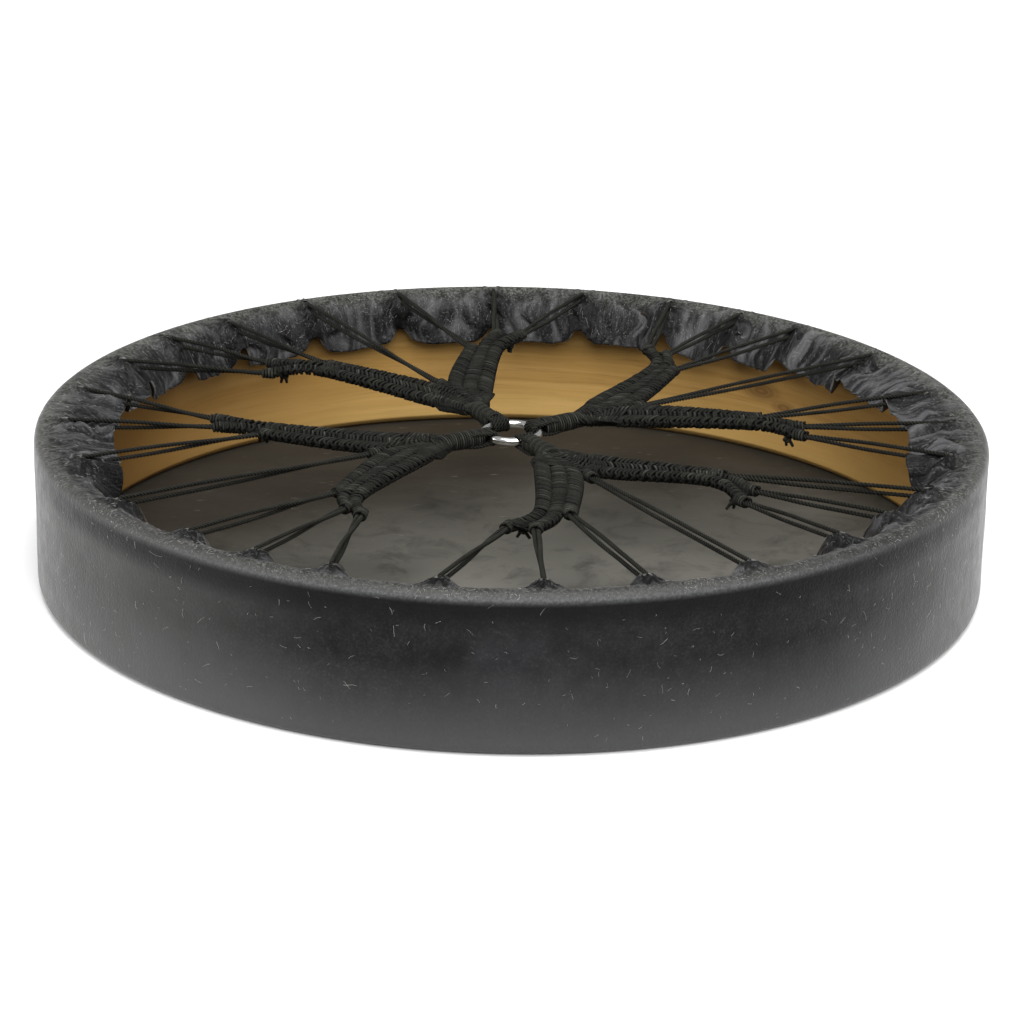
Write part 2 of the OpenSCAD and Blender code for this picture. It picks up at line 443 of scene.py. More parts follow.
def hide_crest(t, m, colour):
    """A pale band on the crest, of dust and hair and partly a painted sheen, wider and paler behind; in front
    a painted light on the crest's top, a painted shine, and a dark band of painted shade under it.
    """
    behind = between(t, m.y, -0.2, 0.05, 0.0, 1.0)
    narrow = grey(t, m.radius, (0.289, 0.0), (0.2925, 1.0))
    wide = grey(t, m.radius, (0.277, 0.0), (0.291, 1.0))
    band = only(t, m.inward, mix(t, behind, narrow, wide))
    band = only(t, band, grey(t, m.specks, (0.4, 0.15), (0.6, 0.75)))
    band = without(t, grey(t, m.crumple, (0.36, 0.55), (0.56, 0.0)), band)
    colour = mix(t, band, colour, mix(t, behind, (0.095, 0.095, 0.089), (0.15, 0.15, 0.135)))
    # in front only: painted light on the top of the crest
    front = between(t, m.y, -0.29, -0.2, 1.0, 0.15)
    top = without(t, m.inward, grey(t, m.height, (0.0925, 0.0), (0.0945, 0.5)))
    colour = mix(t, only(t, front, top), colour, (0.13, 0.13, 0.12))
    # a painted highlight along the front of the crest
    gleam = only(t, front, grey(t, m.height, (0.0922, 0.0), (0.0936, 0.36), (0.0952, 0.0)))
    gleam = without(t, grey(t, m.specks, (0.4, 0.55), (0.6, 0.0)), gleam)
    colour = mix(t, without(t, m.inward, gleam), colour, (0.24, 0.245, 0.255))
    # painted shade in a band under the crest
    shade_under_crest = grey(t, m.height, (0.074, 0.0), (0.084, 1.0), (0.0905, 1.0), (0.0925, 0.0))
    shade_under_crest = without(t, m.inward, only(t, shade_under_crest, (0.8, 0.8, 0.8)))
    return mix(t, shade_under_crest, colour, (0.0025, 0.0025, 0.0025))


def hide_normal(t, m):
    """Bumps from coarse to fine. The flap is crumpled and pulled, and the side only grained."""
    sheet = put(t, "UVMap", uv_map="sheet").outputs["UV"]
    pores = put(t, "TexVoronoi", {"Vector": m.obj, "Scale": 620.0}, feature="F1").outputs["Distance"]
    cells = {"Vector": m.obj, "Scale": 300.0}
    creases = put(t, "TexVoronoi", cells, feature="DISTANCE_TO_EDGE").outputs["Distance"]
    pulled = streaks(t, sheet, (230, 26, 1), 4, 0.6, 0.3)
    lines = streaks(t, sheet, (900, 90, 1), 3, 0.6)
    normal = bump(t, noise(t, m.obj, 45, 4, 0.6), 0.5, 0.9)
    normal = bump(t, mix(t, m.inward, MIDDLE, m.crumple), 0.35, 0.8, normal)
    normal = bump(t, mix(t, m.inward, MIDDLE, pulled), 0.8, 2.2, normal)
    normal = bump(t, grey(t, creases, (0.0, 0.0), (0.18, 1.0)), 0.35, 0.25, normal)
    normal = bump(t, pores, 0.35, 0.3, normal)
    return bump(t, mix(t, m.inward, MIDDLE, lines), 0.45, 0.6, normal)


def make_hide_black(name, gloss):
    """The grain side of the hide."""
    mat, t, bsdf = new_material(name, Specular_IOR_Level=gloss, Sheen_Weight=0.11, Sheen_Roughness=0.3)
    maps = HideMaps(t)
    colour = hide_specks_and_edge_sheen(t, maps, hide_grain_and_floor_reflection(t, maps))
    colour = hide_crest(t, maps, hide_painted_folds(t, colour))
    rough = grey(t, maps.fine, (0.3, 0.30), (0.7, 0.46))
    connect(t, bsdf, Base_Color=colour, Roughness=rough, Normal=hide_normal(t, maps))
    return mat


def make_flesh():
    """The flesh side, with painted shade at the back and on the left, and painted light that is palest
    between the middle and the front.
    """
    mat, t, bsdf = new_material("hide_flesh", Roughness=0.8, Specular_IOR_Level=0.25)
    obj = object_place(t)
    streak = streaks(t, obj, (6, 22, 6), 6, 0.65, 0.4)
    cloud = noise(t, obj, 7, 4, 0.6)
    dark, brown, pale = (0.022, 0.019, 0.013), (0.040, 0.036, 0.027), (0.070, 0.065, 0.052)
    colour = ramp(t, streak, (0.3, dark), (0.55, brown), (0.8, pale))
    colour = mix(t, grey(t, cloud, (0.35, 0.0), (0.7, 0.6)), colour, (0.024, 0.020, 0.016))
    x, y, _ = axes(t)
    # painted shade at the back, reaching further forward on the left
    lean = between(t, x, -0.25, -0.05, 0.18, 0.0)
    back = put(t, "Math", {0: y, 1: lean}, operation="ADD").outputs[0]
    colour = mix(t, between(t, back, 0.12, 0.2, 0.0, 0.6), colour, (0.020, 0.015, 0.009))
    # painted light, palest between the middle and the front
    near = between(t, back, -0.09, 0.17, 0.39, 0.0)
    front = between(t, back, -0.27, -0.09, 0.1, 0.39)
    near = put(t, "Math", {0: near, 1: front}, operation="MINIMUM").outputs[0]
    colour = mix(t, near, colour, (0.35, 0.346, 0.306))
    stain = noise(t, obj, 32, 5, 0.7, 0.6)
    colour = mix(t, grey(t, stain, (0.50, 0.0), (0.7, 0.55)), colour, (0.018, 0.016, 0.012))
    fleck = streaks(t, obj, (60, 190, 60), 4, 0.7)
    colour = mix(t, grey(t, fleck, (0.64, 0.0), (0.76, 0.7)), colour, (0.16, 0.15, 0.12))
    normal = bump(t, noise(t, obj, 160, 5, 0.7), 0.4, 0.4)
    normal = bump(t, streaks(t, obj, (20, 60, 20), 4, 0.6), 0.3, 1.0, normal)
    connect(t, bsdf, Base_Color=colour, Normal=normal)
    return mat


def make_cut_edge():
    mat, t, bsdf = new_material("hide_edge", Roughness=0.8, Specular_IOR_Level=0.3)
    fibre = noise(t, object_place(t), 400, 4, 0.7)
    colour = ramp(t, fibre, (0.3, (0.07, 0.069, 0.067)), (0.7, (0.17, 0.167, 0.16)))
    connect(t, bsdf, Base_Color=colour, Normal=bump(t, fibre, 0.6, 0.3))
    return mat


def make_cord():
    """Black cotton, with painted shade in the grooves between its turns and a painted highlight on top of
    them.
    """
    mat, t, bsdf = new_material("cord_black", Specular_IOR_Level=0.1)
    obj = object_place(t)
    fibre = noise(t, obj, 900, 3, 0.7)
    tone = noise(t, obj, 60, 3, 0.6)
    relief = put(t, "Attribute", attribute_name="relief").outputs["Fac"]
    colour = ramp(t, tone, (0.3, (0.016, 0.016, 0.013)), (0.7, (0.031, 0.031, 0.025)))
    # painted shade where the mesh's painted light is low, and a painted highlight where it is high
    colour = mix(t, grey(t, relief, (0.15, 0.0), (0.9, 1.0)), (0.0008, 0.0008, 0.0006), colour)
    colour = mix(t, grey(t, relief, (0.7, 0.0), (1.0, 0.7)), colour, (0.115, 0.116, 0.101))
    colour = mix(t, grey(t, fibre, (0.5, 0.0), (0.8, 0.3)), colour, (0.08, 0.08, 0.07))
    rough = grey(t, fibre, (0.3, 0.6), (0.7, 0.85))
    connect(t, bsdf, Base_Color=colour, Roughness=rough, Normal=bump(t, fibre, 0.6, 0.35))
    return mat


# Knots in the hoop's wood: place along the hoop, height from its back edge down, and size
WOOD_KNOTS = ((699, 163, 9), (679, 171, 6), (1373, 160, 8), (150, 168, 7))


def wood_knot(t, sheet, colour, u, v, size):
    away = vector(t, "SUBTRACT", sheet, (u * MM, v * MM, 0))
    away = vector(t, "LENGTH", vector(t, "MULTIPLY", away, (0.45, 1.0, 0)))
    near = between(t, away, size * 0.3 * MM, size * MM, 0.75, 0.0)
    rings = put(t, "Math", {0: away, 1: 2600.0}, operation="MULTIPLY").outputs[0]
    rings = put(t, "Math", {0: rings}, operation="SINE").outputs[0]
    return mix(t, near, colour, ramp(t, rings, (0.0, (0.16, 0.078, 0.022)), (1.0, (0.27, 0.14, 0.042))))


def make_wood():
    mat, t, bsdf = new_material("hoop_wood", Specular_IOR_Level=0.4, Coat_Weight=0.12, Coat_Roughness=0.35)
    sheet = put(t, "UVMap", uv_map="sheet").outputs["UV"]
    warp = streaks(t, sheet, (3.0, 14, 1), 3, 0.5)
    moved = vector(t, "ADD", sheet, vector(t, "MULTIPLY", warp, (0, 0.03, 0)))
    grain = streaks(t, moved, (4, 170, 1), 6, 0.62)
    pores = streaks(t, moved, (26, 620, 1), 4, 0.65)
    broad = streaks(t, sheet, (2.2, 16, 1), 3, 0.5)
    dark, warm, pale = (0.38, 0.21, 0.055), (0.54, 0.32, 0.090), (0.68, 0.43, 0.155)
    colour = ramp(t, grain, (0.28, dark), (0.5, warm), (0.75, pale))
    colour = mix(t, grey(t, broad, (0.35, 0.0), (0.7, 0.6)), colour, (0.33, 0.18, 0.050))
    colour = mix(t, grey(t, pores, (0.56, 0.0), (0.72, 0.6)), colour, (0.24, 0.12, 0.035))
    # painted light near the head, and painted shade towards the left and the right
    x, _, z = axes(t)
    colour = mix(t, between(t, z, 0.004, 0.04, 0.55, 0.0), colour, (0.80, 0.54, 0.19))
    colour = mix(t, between(t, x, -0.27, -0.05, 1.0, 0.0), colour, (0.208, 0.104, 0.023))
    colour = mix(t, between(t, x, 0.12, 0.26, 0.0, 0.45), colour, (0.32, 0.16, 0.033))
    for u, v, size in WOOD_KNOTS:
        colour = wood_knot(t, sheet, colour, u, v, size)
    rough = grey(t, grain, (0.3, 0.42), (0.7, 0.55))
    normal = bump(t, grain, 0.2, 0.25, bump(t, pores, 0.35, 0.12))
    connect(t, bsdf, Base_Color=colour, Roughness=rough, Normal=normal)
    return mat


def make_steel():
    mat, t, bsdf = new_material("ring_steel", Metallic=1.0, Base_Color=(0.78, 0.78, 0.77, 1))
    obj = object_place(t)
    scratch = streaks(t, obj, (300, 300, 2500), 3, 0.6)
    rough = grey(t, scratch, (0.3, 0.10), (0.8, 0.28))
    connect(t, bsdf, Roughness=rough, Normal=bump(t, scratch, 0.08, 0.05))
    return mat


def make_lint():
    mat, t, bsdf = new_material("lint", Roughness=0.7)
    obj = object_place(t)
    tone = noise(t, obj, 35, 2, 0.5)
    colour = ramp(t, tone, (0.35, (0.25, 0.24, 0.22)), (0.65, (0.62, 0.60, 0.56)))
    connect(t, bsdf, Base_Color=colour)
    return mat


HIDE, FLAP = make_hide_black("hide_side", 0.08), make_hide_black("hide_flap", 0.17)
FLESH, EDGE = make_flesh(), make_cut_edge()
CORD, WOOD, STEEL, LINT = make_cord(), make_wood(), make_steel(), make_lint()

# ---------- holes, in the order of their angle
HOLE_PLACES = [hole for arm in LAYOUT for _, hole in arm]
HOLE_RUN = CREST_R - np.array([radius for radius, _ in HOLE_PLACES], float)
HOLE_DEG = np.array([degrees for _, degrees in HOLE_PLACES], float)
HOLE_DEG = np.where(HOLE_DEG < FIRST_HOLE, HOLE_DEG + 360, HOLE_DEG)
NEXT_DEG = np.append(HOLE_DEG[1:], HOLE_DEG[0] + 360)


# ---------- the hide
COLUMNS = 1800
FLAP_ROWS = 45
FLAP_MEAN_R = 278
MM_PER_DEG = math.radians(1) * FLAP_MEAN_R
# For each column of the mesh: its angle, the hole before it, the nearest hole, and the way to both of them
ARC = np.arange(COLUMNS) * 360.0 / COLUMNS
TURNED = np.where(ARC < FIRST_HOLE, ARC + 360, ARC)
GAP = np.clip(np.searchsorted(HOLE_DEG, TURNED, side="right") - 1, 0, HOLES - 1)
BEFORE, AFTER = TURNED - HOLE_DEG[GAP], NEXT_DEG[GAP] - TURNED
NEAREST = np.where(BEFORE < AFTER, GAP, (GAP + 1) % HOLES)
NEAR = np.minimum(BEFORE, AFTER) * MM_PER_DEG
# 1 on the lobes between the holes, and 0 on the tabs that are pulled to them
LOBE = smooth(2.0, 15, NEAR)


def mm_from(deg):
    """How far each column is from an angle, along the flap and either way."""
    return (np.mod(ARC - deg + 180, 360) - 180) * MM_PER_DEG


def flap_outline():
    """How wide the flap is at each column, and how steeply its lobe and its tab hang there."""
    gap_rng = np.random.RandomState(31)
    depth, skew = gap_rng.uniform(-1, 1, HOLES), gap_rng.uniform(-0.3, 0.3, HOLES)
    bend_deg = np.array(DROOP, float)
    steep = smooth(25, 45, bend_deg[GAP])
    place = BEFORE / (NEXT_DEG[GAP] - HOLE_DEG[GAP])
    place = place + skew[GAP] * place * (1 - place)
    across = np.abs(2 * place - 1)
    tab_deg = (bend_deg[NEAREST] + bend_deg[(NEAREST - 1) % HOLES]) / 2
    tab_bend = np.radians(tab_deg) * smooth(20, 45, tab_deg) * 1.05
    notch = (5 + 1.5 * depth[NEAREST]) * (1 - smooth(0.5, 9, NEAR)) * smooth(20, 45, tab_deg)
    rounding = (7 + 3 * depth[GAP]) * (1 - np.sqrt(np.clip(1 - across**2.4, 0, 1))) * steep
    uneven = 1.2 * value_noise(ARC / 4, np.zeros(COLUMNS) + 0.5, 11, 90)
    width = FLAP_W + 1.0 + 1.5 * depth[GAP] * LOBE * steep + uneven - notch - rounding * LOBE
    return width, np.radians(bend_deg[GAP]), tab_bend


def flap_profile(width, droop, tab_bend):
    """The flap without folds: each point's way from the crest, radius, height and slope."""
    t = np.linspace(0, 1, FLAP_ROWS + 1)[:, None] * width
    first = np.minimum(droop * 0.42, np.radians(27))
    hanging = first * smooth(0, 5, t) + (droop - first) * smooth(8, 27, t)
    # at a hole the hide is pulled flat as far as the hole, and what lies beyond it hangs
    run = HOLE_RUN[NEAREST]
    angle = SLOPE + LOBE * hanging + (1 - LOBE) * tab_bend * smooth(run + 1, run + 15, t)
    step = np.diff(t, axis=0)
    middle = (angle[1:] + angle[:-1]) / 2
    r = CREST_R - sums(np.cos(middle) * step)
    z = DRUM_H - sums(np.sin(middle) * step)
    slope = np.concatenate([middle[:1], (middle[1:] + middle[:-1]) / 2, middle[-1:]])
    return t, r, z, slope


def flap_folds(t):
    """How far folds lift the flap, and its painted light: painted highlights on folds, ridges and lobes, and
    painted shade in creases and on the left and right.
    """
    arc = ARC[None, :] + 0 * t
    # the folds are stronger on the drum's left and right sides
    right = smooth(-0.2, 0.9, np.cos(np.radians(ARC - 12)))
    left = smooth(0.2, 0.9, np.cos(np.radians(ARC - 165)))
    sway = 1.2 * value_noise(arc / 6, t / 12, 3, 60)
    folds = 1 - 2.2 * np.abs(value_noise(arc / 2 + sway, t / 30 + 3, 5, 180))
    folds = folds + 0.55 * value_noise(arc / 0.9 + 1.5 * sway, t / 20, 6, 400)
    folds = folds + 0.4 * value_noise(arc / 0.45 + 2 * sway, t / 14, 7, 500) * (0.4 + right)
    broad = value_noise(arc / 5, t / 14 + 9, 8, 72)
    ridge = (1 - np.abs(value_noise(arc / 0.8 + 1.5 * sway, t / 24, 9, 450))) ** 4
    ridge = ridge * smooth(2, 10, t) * (0.4 + 0.6 * right + 0.5 * left)
    amount = (0.8 + 1.3 * right + 0.8 * left) * smooth(0, 9, t)
    lift = amount * folds * 0.9 + 1.5 * broad * smooth(6, 25, t) * (0.4 + LOBE) + 0.5 * ridge
    # painted light and shade of the flap, which the mesh keeps for its material
    shade = 0.38 + (0.24 + 0.1 * right) * folds * smooth(0, 8, t) + 0.1 * LOBE * smooth(8, 30, t)
    shade = shade + 0.2 * broad + 0.4 * ridge - 0.22 * left - 0.16 * right
    return lift, shade


def pull_at_holes(t, lift, shade):
    """The strands lift the hide on the way to a hole and press a groove beyond it, and folds run in to it.
    Shade is painted round the hole and along the groove.
    """
    for deg, run in zip(HOLE_DEG, HOLE_RUN):
        dx = mm_from(deg)
        close = np.abs(dx) < 40
        x, y = dx[None, close] + 0 * t[:, close], t[:, close] - run
        d = np.hypot(x, y)
        around = np.arctan2(x, y)
        lift[:, close] += 1.5 * np.exp(-((x / 3.6) ** 2)) * smooth(-run - 1, -2, y) * (1 - smooth(0, 3, y))
        lift[:, close] -= 0.9 * np.exp(-((x / 1.7) ** 2)) * smooth(1.5, 4, y)
        lift[:, close] += 0.8 * np.exp(-(((d - 3.4) / 1.3) ** 2))
        ripple = np.cos(9 * around + deg) + 0.6 * np.cos(14 * around + 2 * deg)
        lift[:, close] += 0.55 * ripple * np.exp(-(((d - 9) / 8) ** 2)) * smooth(2.5, 6, d)
        # painted shade around each hole and along the groove beyond it
        valley_shade = 0.7 * np.exp(-((x / 5.5) ** 2)) * smooth(1, 7, y)
        shade[:, close] -= 0.65 * np.exp(-((d / 5.5) ** 2)) + valley_shade


def flap_points():
    """Radius, height, way from the crest, and painted light and shade of the flap's rows, from the crest to
    its cut edge.
    """
    t, r, z, slope = flap_profile(*flap_outline())
    lift, shade = flap_folds(t)
    pull_at_holes(t, lift, shade)
    return r + lift * np.sin(slope), z + lift * np.cos(slope), t, np.clip(shade, 0, 1)


def outside_points():
    """Radius and height of the head, the side and the crest, from the middle of the head outwards."""
    head_r = np.concatenate([np.linspace(0.6, 250, 14), np.linspace(262, DRUM_R - HEAD_ROUND, 5)])
    corner = np.radians(np.linspace(-90, 0, 7)[1:])
    corner_r = DRUM_R - HEAD_ROUND + HEAD_ROUND * np.cos(corner)
    corner_z = HEAD_ROUND + HEAD_ROUND * np.sin(corner)
    side_z = np.linspace(HEAD_ROUND, DRUM_H - BACK_ROUND, 30)[1:]
    crest = np.radians(np.linspace(0, 90, 9)[1:-1])
    crest_z = DRUM_H - BACK_ROUND + BACK_ROUND * np.sin(crest)
    r = [head_r, corner_r, np.full(len(side_z), DRUM_R), CREST_R + BACK_ROUND * np.cos(crest)]
    r = np.repeat(np.concatenate(r)[:, None], COLUMNS, 1)
    z = np.concatenate([np.zeros(len(head_r)), corner_z, side_z, crest_z])
    z = np.repeat(z[:, None], COLUMNS, 1)
    # the side is slightly uneven, as stretched wet hide dries
    up = smooth(8, 30, z) * (1 - smooth(88, 98, z))
    return r - 0.35 - 0.35 * up * value_noise((ARC + 0 * r) / 6, z / 25, 21, 60), z


def open_holes(r, arc, t):
    """Moves the flap's points near a hole out to its rim. The result says which were inside one."""
    inside = np.zeros(r.shape, bool)
    for deg, run in zip(HOLE_DEG, HOLE_RUN):
        dx, dy = mm_from(deg)[None, :], t - run
        d = np.hypot(dx + 0 * dy, dy)
        inside |= d < 1.7
        near = d < 3.4
        k = np.where(near, np.maximum(0, (2.0 + d * 0.41) / np.maximum(d, 1e-3) - 1), 0)
        arc += np.where(near, dx * k / MM_PER_DEG, 0)
        r -= np.where(near, dy * k, 0)
    return inside


def thicken(obj):
    """Gives the hide its thickness, with the flesh inside and the cut edge on its rims."""
    solid = obj.modifiers.new("thickness", "SOLIDIFY")
    solid.thickness = HIDE_T * MM
    solid.offset = -1
    solid.material_offset = 1
    solid.material_offset_rim = 2
    graph = bpy.context.evaluated_depsgraph_get()
    mesh = bpy.data.meshes.new_from_object(obj.evaluated_get(graph))
    obj.modifiers.clear()
    obj.data = mesh


def build_hide():
    outside_r, outside_z = outside_points()
    flap_r, flap_z, flap_t, flap_shade = flap_points()
    z = np.concatenate([outside_z, flap_z])
    # how far each row is from the middle of the head, along the hide
    run = sums(np.hypot(np.diff(np.append(outside_r[:, 0], flap_r[:, 0])), np.diff(z[:, 0])))
    outside_arc, flap_arc = ARC + 0 * outside_r, ARC + 0 * flap_r
    inside = open_holes(flap_r, flap_arc, flap_t)
    inside = np.concatenate([np.zeros(outside_r.shape, bool), inside])
    r, arc = np.concatenate([outside_r, flap_r]), np.concatenate([outside_arc, flap_arc])
    verts = around_drum(r, arc, z).reshape(-1, 3)
    rows, centre = len(r), len(verts)
    index = np.arange(rows * COLUMNS).reshape(rows, COLUMNS)
    nxt = np.roll(index, -1, 1)
    gone = inside & np.roll(inside, -1, 1)
    keep = ~(gone[:-1] & gone[1:])
    quads = np.stack([index[:-1], nxt[:-1], nxt[1:], index[1:]], -1)[keep]
    tris = np.stack([np.full(COLUMNS, centre), nxt[0], index[0]], 1)
    # painted light and shade of the hide: neutral off the flap, and the flap's own values on it
    plain = 0.45
    shade = np.concatenate([np.full(outside_r.size, plain), flap_shade.ravel(), [plain]])
    build = Builder()
    build.add(np.concatenate([verts, [[0, 0, 0]]]), quads, tris, shade)
    along = np.mod(ARC + 90, 360) * math.radians(1) * DRUM_R
    uv = np.stack([np.tile(along, rows), np.repeat(run, COLUMNS)], 1)
    uv = np.concatenate([uv, [[0, 0]]])
    slots = [HIDE, FLESH, EDGE, FLAP, FLESH, EDGE]
    obj = build.make("hide", slots, ("drumhead", "hide_side", "hide_flap"), uv)
    on_flap = np.repeat(np.arange(rows - 1) >= len(outside_r), COLUMNS)[keep.ravel()]
    on_flap = np.concatenate([on_flap, np.zeros(COLUMNS, bool)])
    obj.data.polygons.foreach_set("material_index", np.where(on_flap, slots.index(FLAP), 0).astype(np.int32))
    thicken(obj)


# ---------- the hoop
def build_hoop():
    """The bent hoop: its profile, with rounded and chamfered corners, swept once around."""
    inner_round, chamfer = 1.2, 4.5
    top, low = DRUM_H - HIDE_T, HIDE_T
    profile = [
        (HOOP_IN + chamfer + 0.4, low), (HOOP_R - 4.5, low), (HOOP_R - 1.3, low + 1.3), (HOOP_R, low + 4.5),
        (HOOP_R, top - 5), (HOOP_R - 1.5, top - 1.5), (CREST_R, top),
        (HOOP_IN + inner_round, top - 6.6), (HOOP_IN + 0.3, top - 7.3), (HOOP_IN, top - 8.4),
    ]  # fmt: skip
    for z in np.linspace(top - 10, low + chamfer + 1.0, 16):
        profile.append((HOOP_IN, z))
    profile += [(HOOP_IN + 0.1, low + chamfer + 0.2), (HOOP_IN + 0.5, low + chamfer - 0.4)]
    profile.append((HOOP_IN + 2, low + 2.2))
    profile = np.array(profile)
    n, m = len(profile), 720
    a = np.arange(m + 1) * 360.0 / m
    verts = around_drum(profile[:, :1], a[None, :] - 90, profile[:, 1:]).reshape(-1, 3)
    index = np.arange(n * (m + 1)).reshape(n, m + 1)
    down = np.roll(index, -1, 0)
    quads = np.stack([index[:, :-1], index[:, 1:], down[:, 1:], down[:, :-1]], -1).reshape(-1, 4)
    run = sums(np.hypot(*np.diff(profile, axis=0).T))
    uv = np.stack([np.tile(a * math.radians(1) * HOOP_IN, n), np.repeat(run, m + 1)], 1)
    build = Builder()
    build.add(verts, quads)
    build.make("hoop_wood", WOOD, ("hoop",), uv)


# ---------- lacing
# Sides of a rope's mesh, and the length in which its plies turn once
SIDES = 12
LAY = 7.0


def rope_section(plies=3, offset=0.52, ply_r=0.49):
    """Radii around a rope of three plies, for a rope of radius 1."""
    a = np.linspace(0, 2 * math.pi, SIDES, endpoint=False)
    radii = []
    for angle in a:
        near = abs((angle + math.pi / plies) % (2 * math.pi / plies) - math.pi / plies)
        beyond = math.sqrt(max(ply_r**2 - (offset * math.sin(near)) ** 2, 0.01))
        radii.append(offset * math.cos(near) + beyond)
    return np.array(radii)


ROPE = rope_section()


def lace_frame(arm, k):
    """A lace's start in plan, its direction, its length, and its heights at its start and at its hole."""
    start, hole = LAYOUT[arm][k]
    start = np.array(start, float)
    run = polar(*hole) - start
    return start, unit(run), np.linalg.norm(run), arm_z(arm, start), cone_at(hole[0])


def build_lace(arm, k):
    """A doubled cord to its hole, down through it and back, with its strands side by side at its start."""
    start, d, length, z0, z1 = lace_frame(arm, k)
    across = left_of(d)
    close, gap = 1.42, 2.25
    bend = length - gap
    slope = (z1 - z0) / length
    s = np.linspace(-7, bend, max(int((bend + 7) / 2.5), 8))
    turn = smooth(-4, 0.7 * length, s) * math.pi / 2
    apart = close + (gap - close) * smooth(0, 0.8 * length, s)
    spread = 0.9 * np.sin(np.pi * np.clip(s / bend, 0, 1)) * math.sin(arm * 7 + k * 3)

    def strand(sign):
        side = sign * apart * np.cos(turn) + sign * spread * 0.6
        up = sign * apart * np.sin(turn)
        xy = start + np.outer(s, d) + np.outer(side, across)
        return np.column_stack([xy, z0 + slope * s + up])

    upper, lower = strand(1), strand(-1)
    around = np.radians(np.linspace(80, -80, 9))
    arc_xy = start + np.outer(bend + gap * np.cos(around), d)
    arc = np.column_stack([arc_xy, z0 + slope * bend + gap * np.sin(around)])
    path = np.concatenate([upper, arc, lower[::-1]])
    dense, length_along = resample(rounded(path, 4), 0.55)
    build = Builder()
    build.tube(dense, CORD_R * 1.02, [*across, 0.35], SIDES, 2 * math.pi * length_along / LAY, ROPE)
    build.make(f"lace_cord_{ARMS[arm]}_{k + 1}", CORD, (f"lace_{ARMS[arm]}_{k + 1}",))


# ---------- woven bindings
PITCH = 2.95
ROW = 2.3
FLAT_ROW = 2.2
WEAVE_HIGH = 2.4
KNOTS_AT = (0.0, 0.35, 1.0, 2.0, 3.0)
# How much wider than its strands a branch of an arm spreads before they part: each arm's first branch, then
# the second branch of every arm
SPREAD = (1.15, 1.45, 1.15, 1.4)
SECOND_SPREAD = 1.15
# The lace of each arm's second branch that leaves it first
EARLY = (4, 6, 4, 4)


def column_points(arm, j):
    """Plan points of one strand from the whipping to where it leaves the binding."""
    u = polar(1, ARM_ANGLE[arm])
    v = left_of(u)
    k, side = divmod(j, 2)
    q = j - (STRANDS - 1) / 2
    start, d, _, _, _ = lace_frame(arm, k)
    end = start + (side * 2 - 1) * PITCH / 2 * left_of(d)
    p0 = u * 44 + v * q * 0.72
    p1 = u * (56 - 0.15 * abs(q)) + v * q * 1.55
    p2 = u * (97 - 4.2 * abs(q)) + v * q * 3.0
    if k == 3:
        return np.array([p0, p1, p2, p2 + (end - p2) * 0.6, end])
    inner = 2 if k < 3 else EARLY[arm]
    outer = [0, 1] if k < 3 else [o for o in (4, 5, 6) if o != inner]
    far = np.mean([LAYOUT[arm][o][0] for o in outer], axis=0)
    group = u * (97 - 4.2 * 4) + v * math.copysign(12, q)
    across = left_of(unit(far - group))
    spread = SPREAD[arm] if k < 3 else SECOND_SPREAD
    at_inner = np.array(LAYOUT[arm][inner][0], float) + across * (j - 2 * inner - 0.5) * PITCH * spread
    return np.array([p0, p1, p2, at_inner, end if k != inner else at_inner])


def columns_at(arm, js, stations):
    """Plan points of several columns at the same stations: array [station, column, 2]."""
    return np.stack([spline(KNOTS_AT, column_points(arm, j), stations) for j in js], 1)


def crossing(rng, row, forward, high, patch, i, turn, flat):
    """One way of a cord across a row of strands: a list of plan point, height and tone, the tone being
    painted light and shade.
    """
    heading = 1 if i % 2 == 0 else -1
    outward, centre = unit(row[-1] - row[0]), row.mean(0)
    middles = (row[0::2] + row[1::2]) / 2
    first, last = (row[0], row[-1]) if heading > 0 else (row[-1], row[0])
    edge = heading * outward * (CORD_R + 0.7)
    lean = forward * (0.0 if flat else 0.45 * ROW)

    def drift(xy):
        return forward * 0.3 * heading * ((xy - centre) @ outward) if flat else 0.0

    # the turns at the edges are painted in shade
    points = [(first - edge - lean, 0.0, 0.3)]
    for rib in range(len(middles))[::heading]:
        mid, strand = middles[rib], row[2 * rib + 1] - row[2 * rib]
        over, slant = heading, 0.0
        if not flat:
            over = 1 if (i + rib + turn) % 2 == 0 else -1
            slant = (0.42 if rib % 2 == 0 else -0.42) * np.linalg.norm(strand) + rng.uniform(-0.25, 0.25)
        bright = rng.uniform(0.6, 1.0) * patch[rib]
        lifted = rng.uniform(-0.12, 0.22)
        for part in (-0.8, -0.3, 0.3, 0.8):
            # painted light: full on a stitch's top, less where it dives
            rise, light = (1.0, 1.0) if abs(part) < 0.5 else (0.9 if flat else 0.72, 0.8)
            xy = mid + (strand * part + forward * slant * part) * heading + drift(mid)
            points.append((xy, over * (high * rise + lifted), bright * light))
        if 0 <= rib + heading < len(middles):
            gap = (mid + middles[rib + heading]) / 2
            # the gaps between stitches are painted in shade
            points.append((gap + drift(gap), over * high * 0.72, 0.5) if flat else (gap, 0.0, 0.05))
    points.append((last + edge + lean, 0.0, 0.3))
    return points


